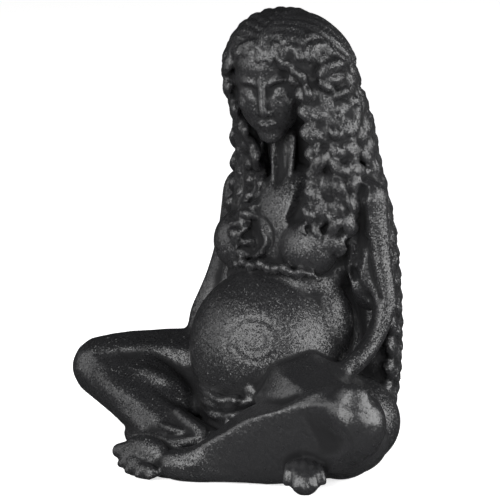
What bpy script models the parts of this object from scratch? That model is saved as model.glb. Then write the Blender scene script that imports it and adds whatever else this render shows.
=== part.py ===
# Seated mother-goddess figurine, carved from one block of black obsidian.
# She sits cross-legged with her hands under a round belly, her head bowed, and long crimped
# hair falls over her breasts and down her back to the ground. Metres, +Z up; her face looks
# along -Y and her left side is +X. She stands on the flat of her own underside.
import math

import bmesh
import bpy
import numpy as np
from mathutils import Matrix, Vector
from mathutils.kdtree import KDTree

HEIGHT = 0.080  # floor to crown
SHARE = HEIGHT / 80  # pose and carving are drawn on a figure 80 shares tall
BLEND_VOXEL = 0.75 * SHARE  # grain of the body under the carving
CARVE_VOXEL = 0.45 * SHARE  # grain of the carved skin
FACETS = 9400  # triangles kept in the finished solid

HEAD_AT = Vector((-1.0, -7.5, 68.6))
HEAD_TURN = math.radians(31)  # towards her left
HEAD_BOW = math.radians(14)
HEAD_LEAN = math.radians(5)  # crown towards her right
CAP_AT = Vector((-0.5, -3.0, 68.6))  # middle of the hair over her skull
CAP_RADIUS = 10.9
CAP_RISE = Vector((-0.08, -0.08, 1.02))  # the crown lies forward of the nape
FACE_EDGE = (math.radians(136), math.radians(121))  # hair parts for the face, right and left
BELLY_AT = Vector((0.0, -8.7, 20.9))
BELLY_RADIUS = 14.3
SHIN_EDGE = Vector((21.7, -23.6, 14.1))  # on the ridge of her left shin, over its flat face
SHIN_FACING = (math.radians(28), math.radians(-11))  # that face looks to her left and down

# falls of hair in front of her shoulders, outer and inner, right side then left
FRONT_FALL = (
    ([(-11.2, -5.6, 61), (-11.3, -5.4, 56), (-11.8, -4.8, 51.5), (-12.4, -4.6, 47),
      (-12.8, -5.6, 42), (-12.4, -8.0, 37)],
     [(-7.4, -9.6, 61), (-5.8, -8.2, 56), (-4.6, -7.0, 51.5), (-4.0, -7.6, 47),
      (-4.0, -10.8, 43), (-4.2, -13.4, 38.5)]),
    ([(12.2, -2.2, 61), (13.2, -2.0, 56), (14.2, -2.0, 51.5), (14.8, -3.2, 47),
      (14.6, -5.0, 42.5), (14.0, -6.6, 38.5)],
     [(9.6, -8.0, 61), (10.0, -7.0, 56), (10.2, -6.6, 51.5), (10.0, -8.0, 48),
      (9.8, -10.6, 45), (9.4, -12.4, 42.4)]),
)
# fall of hair behind her: height, how far back its middle lies, half width and half depth
BACK_FALL = (
    (-6, 3.0, 10.5, 7.4), (0, 3.6, 12.0, 8.0), (12, 4.7, 14.4, 8.6), (22, 5.0, 15.1, 8.8),
    (33, 4.6, 15.0, 8.8), (43, 3.8, 14.1, 8.7), (54, 1.9, 12.1, 8.8), (64, 0.0, 10.8, 8.8),
    (74, -2.6, 8.4, 7.4),
)
FRONT_FLATNESS = 0.45  # of the fall's own depth, on its side towards her back
FALLS_BEHIND = math.radians(98)  # locks that start nearer her spine than this hang at her back
SIDE_LOCKS = 9  # from her spine to the edge of her face, each side
LOCK_GIRTH = 1.75
WAVE_LENGTH = 5.0
WAVE_SWING = 0.75  # of a lock from side to side
WAVE_LIFT = 0.45  # of a lock in and out


def clear_scene():
    for old in list(bpy.data.objects):
        bpy.data.objects.remove(old)


def head_frame():
    """Her own left, back and up at the turned, bowed and leaning head, in shares."""
    turn = Matrix.Rotation(HEAD_TURN, 4, "Z")
    bow = Matrix.Rotation(HEAD_BOW, 4, "X")
    lean = Matrix.Rotation(-HEAD_LEAN, 4, "Y")
    return Matrix.Translation(HEAD_AT) @ turn @ bow @ lean


def on_head(left, forward, up):
    """A point of the head, in shares from its centre."""
    return head_frame() @ Vector((left, -forward, up))


def ball(stone, centre, radii, turn=None):
    """Adds an ellipsoid to the stone."""
    sizes = Vector(radii) if hasattr(radii, "__len__") else Vector((radii,) * 3)
    place = Matrix.Translation(Vector(centre) * SHARE)
    if turn is not None:
        place = place @ turn.to_4x4()
    place = place @ Matrix.Diagonal((*(sizes * SHARE), 1.0))
    bmesh.ops.create_icosphere(stone, subdivisions=3, radius=1.0, matrix=place)


def spline(knots, steps):
    """A smooth run of points through knots of any number of values each."""
    ends = [knots[0], *knots, knots[-1]]
    run = []
    for a, b, c, d in zip(ends, ends[1:], ends[2:], ends[3:]):
        for i in range(steps):
            t = i / steps
            run.append(
                [
                    0.5 * (2 * q + (r - p) * t + (2 * p - 5 * q + 4 * r - s) * t * t
                           + (3 * q - p - 3 * r + s) * t * t * t)
                    for p, q, r, s in zip(a, b, c, d)
                ]
            )
    run.append(list(knots[-1]))
    return run


def sweep(stone, run, sides=10):
    """Adds a round limb with domed ends along points of x, y, z and girth, in shares."""
    points = [Vector(p[:3]) for p in run]
    girths = [p[3] for p in run]
    ways = [(points[min(i + 1, len(points) - 1)] - points[max(i - 1, 0)]).normalized()
            for i in range(len(points))]
    dome = [math.radians(a) for a in (72, 45, 20)]
    rings = [(points[0] - ways[0] * girths[0] * math.sin(a), ways[0], girths[0] * math.cos(a))
             for a in dome]
    rings += list(zip(points, ways, girths))
    rings += [(points[-1] + ways[-1] * girths[-1] * math.sin(a), ways[-1],
               girths[-1] * math.cos(a)) for a in reversed(dome)]
    side = ways[0].orthogonal().normalized()
    loops = []
    for centre, way, girth in rings:
        side = (side - way * side.dot(way)).normalized()
        other = way.cross(side)
        loops.append(
            [
                stone.verts.new(
                    (centre + (side * math.cos(a) + other * math.sin(a)) * girth) * SHARE
                )
                for a in (2 * math.pi * k / sides for k in range(sides))
            ]
        )
    for low, high in zip(loops, loops[1:]):
        for k in range(sides):
            n = (k + 1) % sides
            stone.faces.new((low[k], low[n], high[n], high[k]))
    stone.faces.new(list(reversed(loops[0])))
    stone.faces.new(loops[-1])


def limb(stone, *knots, steps=5, sides=16):
    """Adds a limb that swells and thins through knots of x, y, z and girth."""
    sweep(stone, spline(knots, steps), sides)


def stone_object(name, stone):
    """Makes the gathered forms an object."""
    mesh = bpy.data.meshes.new(name)
    stone.to_mesh(mesh)
    stone.free()
    piece = bpy.data.objects.new(name, mesh)
    bpy.context.scene.collection.objects.link(piece)
    return piece


def apply_modifiers(piece):
    """Keeps the shape that the modifiers make, and drops them."""
    graph = bpy.context.evaluated_depsgraph_get()
    shaped = bpy.data.meshes.new_from_object(piece.evaluated_get(graph))
    piece.modifiers.clear()
    piece.data = shaped


def weld_together(piece, voxel, rubs, strength=0.5):
    """Turns overlapping forms into one skin and rubs their joins smooth."""
    grain = piece.modifiers.new("one skin", "REMESH")
    grain.mode = "VOXEL"
    grain.voxel_size = voxel
    rub = piece.modifiers.new("rubbed", "SMOOTH")
    rub.factor = strength
    rub.iterations = rubs
    apply_modifiers(piece)


def press(piece, centre, reach, push, frame):
    """Moves the skin near a point by push, fading to nothing at reach, all in one frame."""
    skin = np.empty(3 * len(piece.data.vertices), dtype=np.float32)
    piece.data.vertices.foreach_get("co", skin)
    skin = skin.reshape(-1, 3)
    home = np.array(frame.inverted())
    offset = skin / SHARE @ home[:3, :3].T + home[:3, 3] - np.array(centre)
    far = ((offset / np.array(reach)) ** 2).sum(axis=1)
    share = np.clip(1 - far, 0, None) ** 2
    way = np.array(frame.to_3x3() @ Vector(push)) * SHARE
    skin = skin + share[:, None] * way
    piece.data.vertices.foreach_set("co", skin.astype(np.float32).ravel())


def pare(piece, edge, facing, centre, reach):
    """Takes off most of what stands proud of a plane through edge, less and less to reach."""
    round_her, rise = facing
    way = np.array((math.sin(round_her) * math.cos(rise), -math.cos(round_her) * math.cos(rise),
                    math.sin(rise)))
    skin = np.empty(3 * len(piece.data.vertices), dtype=np.float32)
    piece.data.vertices.foreach_get("co", skin)
    skin = skin.reshape(-1, 3)
    proud = np.clip((skin / SHARE - np.array(edge)) @ way, 0, None)
    far = (((skin / SHARE - np.array(centre)) / np.array(reach)) ** 2).sum(axis=1)
    near = np.clip(1.4 * (1 - far), 0, 1)
    off = proud ** 2 / (proud + 1.1) * near * near * (3 - 2 * near)
    skin = skin - off[:, None] * way * SHARE
    piece.data.vertices.foreach_set("co", skin.astype(np.float32).ravel())


def torso(stone):
    ball(stone, (0, 2.5, 8), (16, 10.5, 10))
    ball(stone, (0, 0.5, 22), (11.8, 9, 16))
    ball(stone, (-0.6, -1, 39), (13.2, 9, 13))
    limb(stone, (-14.5, 0.2, 44.5, 3.9), (0, -0.5, 48.5, 5), (14.8, 0.5, 48, 3.9))
    limb(stone, (0, -1.8, 48, 4.2), (-0.8, -4.4, 53, 3.0), (-0.8, -4.4, 61, 3.3))
    limb(stone, (12.5, -1, 44, 3.0), (14.4, -1.0, 36, 2.2), (15.0, -0.2, 29.5, 2.0))
    limb(stone, (-12.5, 0, 42, 3.6), (-14.4, -1, 33, 3.6), (-15.6, -2.4, 25, 3.8))
    ball(stone, (-0.4, -4.5, 32.5), (12, 8.6, 5.5))
    ball(stone, (1, -9, 1.5), (17, 16, 4.5))
    ball(stone, (0, -16.5, 4.5), (10, 8, 4.6))


def head(stone):
    to_head = head_frame().to_3x3()
    ball(stone, on_head(0, -1.4, 0.6), (6.6, 7.6, 8.2), to_head)
    ball(stone, on_head(0, 2.4, -2.9), (5.6, 4.7, 6.8), to_head)
    ball(stone, on_head(0, 4.5, -8.5), (2.6, 2.3, 2.0), to_head)


def arms(stone):
    limb(stone, (15.4, 0.6, 48.4, 3.1), (16.9, 0.9, 42, 2.4), (17.4, 0.9, 38, 2.25),
         (19.0, 1.0, 29.6, 2.2))
    limb(stone, (19.0, 1.0, 29.6, 2.2), (18.8, -2.0, 23.8, 2.0), (17.8, -6.8, 19.2, 1.9),
         (13, -12, 16.5, 2.1))
    limb(stone, (-15.4, 0, 46.3, 3.8), (-17, -0.5, 38, 3.3), (-18.8, -1.6, 30.5, 3.2),
         (-20.2, -4.6, 23.8, 3.0))
    limb(stone, (-20.2, -4.6, 23.8, 3.0), (-17.5, -9, 17, 2.9), (-12.8, -12.8, 12.8, 2.7),
         (-6.2, -16.3, 9.9, 2.9))


def legs(stone):
    ball(stone, (11.0, -1.4, 8.0), (10.1, 10.1, 8.6))
    ball(stone, (18.2, -9.5, 7.4), 7.6)
    ball(stone, (24.0, -14.0, 8.2), (7.5, 7.5, 6.2))
    limb(stone, (8, 1, 8.5, 8.0), (12.7, -12.5, 13.0, 9.4), (22, -17, 12.2, 7.7),
         (28.6, -18.2, 12.2, 6.9))
    limb(stone, (28.6, -18.2, 12.0, 6.9), (20.5, -20.5, 9.2, 7.6), (12.5, -23.0, 7.0, 7.3),
         (7.5, -26.9, 4.9, 5.1), (3.3, -29.7, 3.3, 3.5), (-0.4, -31.6, 2.9, 3.0))
    limb(stone, (-8, 1.5, 9.5, 9.2), (-20, -9, 12.8, 8.9), (-27, -15, 14.4, 6.9),
         (-31.4, -18.9, 14.5, 5.8))
    limb(stone, (-31.4, -18.9, 14.2, 5.6), (-21.5, -22, 11.0, 4.8), (-10, -24, 6.8, 4.7),
         (3, -23.5, 4.2, 3.8), (13, -21.5, 3.6, 3.4))
    limb(stone, (-26.4, -17.8, 12.6, 5.9), (-20, -18.2, 11.6, 6.0), (-13.6, -19.2, 9.6, 4.9))


def shin_ridges(stone):
    """The ridges of both shins, her right calf and her left knee cap."""
    limb(stone, (-29.0, -22.5, 14.6, 2.2), (-23.2, -24.5, 12.4, 2.3), (-18.7, -25.1, 11.4, 2.3),
         (-13.2, -25.7, 9.6, 2.1), (-9.4, -26.3, 7.8, 1.7))
    limb(stone, (-18.5, -21.0, 15.2, 1.6), (-15.2, -20.3, 13.9, 2.1), (-12.4, -18.7, 12.7, 1.6))
    limb(stone, (9.8, -26.4, 9.8, 1.5), (15.8, -25.0, 12.0, 1.8), (20.6, -23.3, 13.9, 2.1),
         (25.0, -20.8, 16.5, 2.3), (27.0, -20.2, 17.0, 1.9))
    ball(stone, (31.0, -19.3, 17.5), 2.6)


def feet(stone):
    ball(stone, (-7.6, -31.8, 3.7), (5.4, 2.5, 3.5))
    ball(stone, (-4.2, -29.4, 2.2), (4.6, 3.4, 2.8))
    ball(stone, (-10.0, -33.2, 3.0), (3.0, 1.5, 2.2))
    ball(stone, (-8.0, -34.2, 1.9), (2.8, 1.3, 1.8))
    ball(stone, (-5.2, -34.6, 1.5), (3.2, 1.3, 1.5))
    toes = [
        ((-9.5, -32.4, 4.6), (-13.2, -33.1, 3.7), 1.5),
        ((-8.3, -33.6, 3.1), (-11.2, -34.6, 2.0), 1.0),
        ((-6.8, -34.0, 2.3), (-8.8, -35.2, 1.3), 0.9),
        ((-4.8, -34.2, 1.9), (-5.8, -35.9, 1.1), 0.85),
        ((-2.6, -33.8, 1.7), (-3.2, -35.8, 1.0), 0.8),
    ]
    for root, tip, girth in toes:
        middle = (Vector(root) + Vector(tip)) / 2
        limb(stone, (*root, girth), (*middle, girth * 0.85), (*tip, girth), steps=3, sides=10)

    ball(stone, (21.6, -21.8, 2.6), (3.4, 3.4, 2.9))
    for k in range(5):
        aside = (k - 2) * 1.5
        root = Vector((22.2 + 0.62 * aside, -22.6 + 0.62 * aside, 5.2 - 0.08 * aside ** 2))
        reach = 25.7 - 0.18 * aside ** 2
        tip = Vector((reach - 0.2 + 0.74 * aside, -reach + 0.74 * aside, 1.5 + 0.08 * aside ** 2))
        girth = 0.86 - 0.03 * k
        middle = (root + tip) / 2 + Vector((0.5, -0.5, 0.7))
        limb(stone, (*root, girth), (*middle, girth * 0.95), (*tip, girth), steps=3, sides=10)


def ankle_folds(stone):
    """Rolls of flesh where her right ankle turns under the other shin."""
    limb(stone, (-18.5, -25.4, 5.2, 1.0), (-14.5, -27.6, 5.0, 1.5), (-9.0, -28.3, 5.9, 1.4),
         (-4.8, -28.1, 5.5, 1.3), (-2.2, -27.8, 6.0, 1.2), (0.6, -26.6, 7.0, 1.1))
    limb(stone, (-8.6, -27.6, 8.3, 0.7), (-5.6, -27.9, 8.0, 0.95), (-3.4, -27.3, 7.7, 0.7))
    limb(stone, (-7.0, -24.8, 10.5, 0.8), (-2.8, -25.6, 9.0, 1.1), (0.2, -25.9, 7.9, 1.3))
    limb(stone, (-10.6, -32.6, 4.7, 0.6), (-6.6, -32.8, 5.0, 0.9), (-3.0, -32.2, 3.8, 1.0),
         (0.9, -32.6, 3.3, 1.1), (4.1, -31.6, 3.4, 1.2))


def belly_and_breasts(stone):
    """Her belly with its fuller left side, her breasts and the breastbone between them."""
    ball(stone, BELLY_AT, BELLY_RADIUS)
    ball(stone, (8.8, -4.0, 25.0), (5.2, 5.2, 8.4))
    ball(stone, (8.1, -7.1, 39.5), (5.6, 5.0, 5.4))
    ball(stone, (-7.1, -8.3, 39.0), (5.3, 5.2, 5.6))
    ball(stone, (0.8, -3.6, 40.0), (9.5, 7.0, 12.5))


def hands(stone):
    """Her right hand under the belly, the fingers towards her left."""
    ball(stone, (-5.4, -16.6, 11.0), (4.2, 2.8, 3.0))
    ball(stone, (3.0, -21.3, 9.6), 1.1)
    limb(stone, (-8.0, -17.6, 14.0, 1.2), (-2.8, -21.4, 14.2, 1.2), (1.4, -22.8, 13.8, 1.0),
         (4.6, -22.2, 14.4, 0.9))
    limb(stone, (-7.6, -17.6, 12.4, 1.2), (-2.2, -21.5, 12.3, 1.2), (3.0, -21.9, 12.4, 1.0),
         (6.6, -20.4, 13.6, 0.9))
    limb(stone, (-7.2, -17.2, 10.8, 1.15), (-1.8, -21.2, 10.6, 1.15), (3.4, -21.2, 10.9, 1.0),
         (7.2, -19.0, 12.4, 0.9))
    limb(stone, (-6.6, -17.0, 9.4, 1.1), (-1.6, -20.5, 9.0, 1.1), (2.0, -21.2, 9.2, 0.95))


def curtain_at(height, angle, lift=0.0):
    """A point on the sheet of hair behind her: angle 0 is her spine, 90 degrees her left side."""
    shape = spline(BACK_FALL, 6)
    low = next((s for s in zip(shape, shape[1:]) if s[1][0] >= height), (shape[-2], shape[-1]))
    t = (height - low[0][0]) / (low[1][0] - low[0][0])
    back, wide, deep = (a + (b - a) * t for a, b in zip(low[0][1:], low[1][1:]))
    return Vector(((wide + lift) * math.sin(angle), back + (deep + lift) * math.cos(angle), height))


def hair_mass(stone):
    """The smooth body of the hair under its locks."""
    loops = []
    for i in range(14):
        height = -4 + 5.4 * i
        middle = curtain_at(height, math.pi / 2).y
        ring = [curtain_at(height, 2 * math.pi * k / 24, -1.0) for k in range(24)]
        for point in ring:
            point.y = max(point.y, middle + (point.y - middle) * FRONT_FLATNESS)
        loops.append([stone.verts.new(point * SHARE) for point in ring])
    for low, high in zip(loops, loops[1:]):
        for k in range(24):
            n = (k + 1) % 24
            stone.faces.new((low[n], low[k], high[k], high[n]))
    stone.faces.new(loops[0])
    stone.faces.new(list(reversed(loops[-1])))
    back = head_frame().to_3x3() @ Vector((0, 1, 0))
    ball(stone, CAP_AT + back * 1.2 + CAP_RISE * 0.5, CAP_RADIUS - 1.6)
    ball(stone, CAP_AT + back * 1.6 + CAP_RISE * 2.4, CAP_RADIUS - 3.4)
    limb(stone, (8.8, -4.6, 66, 2.6), (10.0, -3.6, 57, 2.4), (11.2, -3.0, 49, 2.8),
         (11.0, -4.8, 42, 2.6))
    limb(stone, (-7.9, -7.4, 67, 2.6), (-8.2, -5.6, 57, 2.8), (-9.2, -4.0, 49, 3.2),
         (-9.6, -5.2, 42, 2.8))


def waved(run, side, start, girth):
    """Crimps a lock: it swings from side to side and in and out along its length."""
    points = [Vector(p[:3]) for p in run]
    length = 0.0
    crimped = []
    for i, point in enumerate(points):
        if i:
            length += (point - points[i - 1]).length
        way = (points[min(i + 1, len(points) - 1)] - points[max(i - 1, 0)]).normalized()
        out = Vector((point.x, point.y + 2.0, max(0.0, point.z - CAP_AT.z))).normalized()
        across = out.cross(way).normalized() * side
        turn = 2 * math.pi * length / WAVE_LENGTH + start
        ease = min(1.0, length / 14.0)
        moved = point + across * (WAVE_SWING * ease * math.sin(turn))
        moved += out * (WAVE_LIFT * ease * math.cos(turn))
        crimped.append((*moved, girth * (0.5 + 0.5 * min(1.0, length / 15.0))))
    return crimped


def parting_way(rise, aside=0.16):
    """The way from the middle of the cap to her parting, at an angle in degrees over her brow."""
    back, up = -math.cos(math.radians(rise)), math.sin(math.radians(rise))
    return Vector((aside, back, up)).normalized()


def on_cap(way):
    """The point of the hair over her skull in one direction from its middle."""
    return CAP_AT + (Vector((way.x, way.y, 0)) + CAP_RISE * way.z) * CAP_RADIUS


def lock_path(side, spread):
    """A lock of one side, from her spine at spread 0 to the edge of her face at 1."""
    edge = FACE_EDGE[side > 0]
    angle = spread * edge
    start = parting_way(100 - 78 * spread, 0.16 + 0.06 * side)
    fall = Vector((side * math.sin(angle), math.cos(angle), -0.12)).normalized()
    knots = []
    for i in range(5):
        t = i / 4
        way = start * math.cos(t * math.pi / 2) + fall * math.sin(t * math.pi / 2)
        way += Vector((0, 0, 0.4 * spread * math.sin(t * math.pi)))
        knots.append(on_cap(way.normalized()))
    if angle < FALLS_BEHIND:
        return knots + [curtain_at(60.5 - 6.5 * i, side * angle, -0.5) for i in range(10)]
    t = (angle - FALLS_BEHIND) / (edge - FALLS_BEHIND)
    return knots + [Vector(a).lerp(Vector(b), t) for a, b in zip(*FRONT_FALL[side > 0])]


def locks(stone):
    """Locks from the parting over the skull, then down her back or over her breasts."""
    for side in (-1, 1):
        for k in range(SIDE_LOCKS + (side > 0)):
            knots = lock_path(side, (k + (side < 0)) / SIDE_LOCKS)
            run = spline([tuple(q) for q in knots], 9)
            sweep(stone, waved(run, side, -0.45 * k, LOCK_GIRTH), 10)


def hem_of_hair(stone):
    """The rolled ends of the hair, a ridge that runs across under the breasts."""
    knots = [(-11.4, -6.4, 33.6), (-7, -11.0, 35.2), (0, -12.7, 36.0), (6, -12.5, 36.0),
             (11, -10.1, 34.8), (14.4, -5.6, 33.2)]
    run = spline(knots, 10)
    for i, p in enumerate(run):
        p.append(0.7 + 0.5 * math.sin(math.pi * i / (len(run) - 1)) + 0.12 * math.sin(1.3 * i))
    sweep(stone, run, 8)


def carve_face(piece):
    """Brow, eye sockets, closed lids, cheeks, nose, lips and chin, from the head's centre."""
    face = head_frame()
    for side in (-1, 1):
        press(piece, (side * 2.7, -6.4, 0.4), (2.2, 4, 1.9), (0, 1.4, 0), face)
        press(piece, (side * 2.7, -5.4, -0.1), (1.6, 3, 1.1), (0, -0.9, 0), face)
        press(piece, (side * 2.9, -6.4, 2.2), (2.6, 4, 1.1), (0, -0.5, 0), face)
        press(piece, (side * 3.4, -6.2, -3.0), (2.3, 4, 2.2), (0, -0.6, 0), face)
    press(piece, (0, -6.8, -1.2), (1.25, 4, 3.4), (0, -1.5, 0), face)
    press(piece, (0, -7.2, -3.4), (1.9, 4, 1.3), (0, -1.5, 0), face)
    press(piece, (0, -6.8, -6.1), (2.4, 4, 1.1), (0, -0.9, 0), face)
    press(piece, (0, -6.8, -7.6), (2.4, 4, 0.9), (0, 0.5, 0), face)


def hollow_out(piece):
    """Hollows over her right toes, inside her left arm and below her left knee and shin."""
    upright = Matrix.Identity(4)
    press(piece, (24.4, -24.8, 3.6), (6.6, 6.6, 4.8), (-3.6, 3.6, 1.0), upright)
    press(piece, (15.5, -3.0, 24.5), (5.0, 6.5, 8.5), (-3.0, 4.2, 0), upright)
    press(piece, (13.0, -6.0, 37.5), (4.2, 4.2, 4.0), (-1.5, 2.0, 0), upright)
    press(piece, (33.2, -24.6, 8.2), (9.0, 9.0, 8.0), (-1.0, 1.0, -0.3), upright)
    pare(piece, SHIN_EDGE, SHIN_FACING, (18, -27, 7.5), (17, 15, 14))


def carve_grooves(piece):
    """The parting, and the grooves between the strands that sweep over her skull from it."""
    parting = [on_cap(parting_way(26 + 6 * i)) for i in range(13)]
    strands = []
    for side in (-1, 1):
        for k in range(SIDE_LOCKS):
            knots = lock_path(side, (k + 0.5) / SIDE_LOCKS)[1:6]
            run = spline([tuple(q) for q in knots], 4)
            strands += [Vector(p) + 0.6 * (Vector(p) - CAP_AT).normalized() for p in run]

    skin = piece.data.vertices
    tree = KDTree(len(skin))
    for vertex in skin:
        tree.insert(vertex.co, vertex.index)
    tree.balance()
    for points, reach, depth in ((parting, 1.3, 0.55), (strands, 1.2, 0.5)):
        for point in points:
            inward = (CAP_AT - point).normalized() * depth * SHARE
            for _, index, far in tree.find_range(point * SHARE, reach * SHARE):
                skin[index].co += inward * (1 - (far / (reach * SHARE)) ** 2) ** 2


def sit_flat(piece):
    """Cuts the underside flat at the ground and closes it."""
    stone = bmesh.new()
    stone.from_mesh(piece.data)
    everything = list(stone.verts) + list(stone.edges) + list(stone.faces)
    cut = bmesh.ops.bisect_plane(stone, geom=everything, dist=1e-6, plane_co=(0, 0, 0),
                                 plane_no=(0, 0, 1), clear_inner=True)
    rim = [e for e in cut["geom_cut"] if isinstance(e, bmesh.types.BMEdge)]
    bmesh.ops.triangle_fill(stone, edges=rim, use_beauty=True, use_dissolve=False)
    bmesh.ops.recalc_face_normals(stone, faces=stone.faces)
    stone.to_mesh(piece.data)
    stone.free()


def stand_on_origin(piece):
    """Puts the middle of the underside of the figurine's box at the origin."""
    skin = np.array([vertex.co for vertex in piece.data.vertices])
    middle = (skin.min(axis=0) + skin.max(axis=0)) / 2
    piece.data.transform(Matrix.Translation((-middle[0], -middle[1], 0)))


def obsidian():
    """Black volcanic glass with a satin polish."""
    look = bpy.data.materials.new("obsidian")
    look.use_nodes = True
    shader = look.node_tree.nodes["Principled BSDF"]
    shader.inputs["Base Color"].default_value = (0.022, 0.022, 0.024, 1)
    shader.inputs["Roughness"].default_value = 0.42
    shader.inputs["Metallic"].default_value = 0.0
    return look


def figurine():
    body = bmesh.new()
    for form in (torso, head, arms, legs, shin_ridges):
        form(body)
    body = stone_object("body", body)
    weld_together(body, BLEND_VOXEL, 4)
    carve_face(body)
    hollow_out(body)

    carving = bmesh.new()
    carving.from_mesh(body.data)
    bpy.data.objects.remove(body)
    for form in (feet, ankle_folds, belly_and_breasts, hands, hair_mass, locks, hem_of_hair):
        form(carving)
    goddess = stone_object("goddess_figurine", carving)
    weld_together(goddess, CARVE_VOXEL, 1)
    carve_grooves(goddess)

    thin = goddess.modifiers.new("facets", "DECIMATE")
    thin.use_collapse_triangulate = True
    thin.ratio = FACETS / (2 * len(goddess.data.polygons))
    apply_modifiers(goddess)
    sit_flat(goddess)
    stand_on_origin(goddess)
    goddess.data.shade_smooth()
    goddess.data.materials.clear()
    goddess.data.materials.append(obsidian())
    return goddess


clear_scene()
figurine()
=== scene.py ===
# Seated goddess figurine, carved from one block of black obsidian: the finished carving,
# its satin volcanic glass and a plain pale studio. Lengths in her tables are millimetres, those of
# the stone and the studio metres. She faces -Y, and her left is +X.
import math

import bmesh
import bpy
import numpy as np
from mathutils import Matrix, Vector
from mathutils.kdtree import KDTree


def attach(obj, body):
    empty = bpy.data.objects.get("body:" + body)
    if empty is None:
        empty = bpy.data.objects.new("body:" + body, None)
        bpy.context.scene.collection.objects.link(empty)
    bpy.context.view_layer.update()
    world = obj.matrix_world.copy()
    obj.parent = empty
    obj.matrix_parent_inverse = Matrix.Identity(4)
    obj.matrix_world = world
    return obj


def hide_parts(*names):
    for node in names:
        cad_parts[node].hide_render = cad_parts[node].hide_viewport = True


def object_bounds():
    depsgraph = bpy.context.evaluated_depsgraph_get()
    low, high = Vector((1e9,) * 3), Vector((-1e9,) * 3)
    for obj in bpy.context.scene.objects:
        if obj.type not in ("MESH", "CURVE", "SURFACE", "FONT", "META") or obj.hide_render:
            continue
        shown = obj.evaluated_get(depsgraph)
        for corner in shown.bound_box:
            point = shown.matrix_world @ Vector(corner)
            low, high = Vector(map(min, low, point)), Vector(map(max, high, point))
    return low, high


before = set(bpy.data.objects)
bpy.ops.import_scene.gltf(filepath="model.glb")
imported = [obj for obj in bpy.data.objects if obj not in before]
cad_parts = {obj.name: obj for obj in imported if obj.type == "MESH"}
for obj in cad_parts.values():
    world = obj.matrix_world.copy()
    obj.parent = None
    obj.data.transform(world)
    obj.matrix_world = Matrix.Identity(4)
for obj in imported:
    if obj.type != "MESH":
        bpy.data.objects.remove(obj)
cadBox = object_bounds()
mm = 0.001
print("frame loaded")


# picking, joining and finishing pieces

def pick(*pieces):
    bpy.ops.object.select_all(action="DESELECT")
    for piece in pieces:
        piece.select_set(True)
    bpy.context.view_layer.objects.active = pieces[0]


def joinPieces(name, pieces):
    pick(*pieces)
    if len(pieces) > 1:
        bpy.ops.object.join()
    bpy.ops.object.transform_apply(location=True, rotation=True, scale=True)
    piece = bpy.context.object
    piece.name = name
    return piece


def applyTool(piece, kind, **settings):
    pick(piece)
    tool = piece.modifiers.new(kind.title(), kind)
    for setting, value in settings.items():
        setattr(tool, setting, value)
    bpy.ops.object.modifier_apply(modifier=tool.name)


skins = {  # voxel size and number of rubs at each stage
    "blocked": (0.5, 7),
    "detailed": (0.28, 3),
    "whole": (0.26, 2),
}


def oneSkin(piece, voxel, rubs):
    # welds all that a piece is made of into one even skin and rubs it down
    applyTool(piece, "REMESH", mode="VOXEL", voxel_size=voxel * mm)
    applyTool(piece, "SMOOTH", factor=0.5, iterations=rubs)


def wayTo(azimuth, elevation):
    # towards an azimuth round her, 0 before her and 90 on her left, and an elevation, in degrees
    a, e = math.radians(azimuth), math.radians(elevation)
    return math.sin(a) * math.cos(e), -math.cos(a) * math.cos(e), math.sin(e)


def smoothRun(knots, steps):
    # a smooth line through knots of any number of values each
    ends = [knots[0], *knots, knots[-1]]
    run = []
    for a, b, c, d in zip(ends, ends[1:], ends[2:], ends[3:]):
        for i in range(steps):
            t = i / steps
            run.append([
                0.5 * (2 * q + (r - p) * t + (2 * p - 5 * q + 4 * r - s) * t * t
                       + (3 * q - p - 3 * r + s) * t ** 3)
                for p, q, r, s in zip(a, b, c, d)
            ])
    run.append(list(knots[-1]))
    return run


def addMass(at, size, place=Matrix.Identity(4)):
    # an egg-shaped mass, its own axes turned by place
    spot = place @ Vector(at)
    bpy.ops.mesh.primitive_ico_sphere_add(
        subdivisions=4, radius=mm, location=spot * mm, rotation=place.to_euler(), scale=size)
    return bpy.context.object


def addLimbs(name, runs, roundness=2):
    # round limbs with domed ends, along runs of x, y, z and girth
    curve = bpy.data.curves.new(name, "CURVE")
    curve.dimensions = "3D"
    curve.bevel_depth = mm
    curve.bevel_resolution = roundness
    curve.use_fill_caps = True
    rings = (78, 52, 25)  # of each domed end, in degrees from its rim
    dome = [(math.sin(math.radians(a)), math.cos(math.radians(a))) for a in rings]
    for run in runs:
        points = [Vector(p[:3]) for p in run]
        girths = [p[3] for p in run]
        first = (points[1] - points[0]).normalized()
        last = (points[-1] - points[-2]).normalized()
        line = [(points[0] - first * girths[0] * out, girths[0] * thin) for out, thin in dome]
        line += list(zip(points, girths))
        line += [(points[-1] + last * girths[-1] * out, girths[-1] * thin)
                 for out, thin in reversed(dome)]
        spline = curve.splines.new("POLY")
        spline.points.add(len(line) - 1)
        for point, (spot, girth) in zip(spline.points, line):
            point.co = (*(spot * mm), 1.0)
            point.radius = girth
    piece = bpy.data.objects.new(name, curve)
    bpy.context.scene.collection.objects.link(piece)
    pick(piece)
    bpy.ops.object.convert(target="MESH")
    return bpy.context.object


def roughOut(name, forms, place=Matrix.Identity(4)):
    # blocks a form out of masses and limbs
    made = [addMass(at, size, place) for at, size in forms.get("masses", [])]
    if "limbs" in forms:
        runs = [smoothRun([(*(place @ Vector(k[:3])), k[3]) for k in limb], steps=6)
                for limb in forms["limbs"]]
        made.append(addLimbs(name, runs))
    return joinPieces(name, made)


def readSkin(piece):
    # the places of all its points, in metres
    skin = np.empty(3 * len(piece.data.vertices), dtype=np.float32)
    piece.data.vertices.foreach_get("co", skin)
    return skin.reshape(-1, 3)


def writeSkin(piece, skin):
    piece.data.vertices.foreach_set("co", skin.astype(np.float32).ravel())


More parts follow.
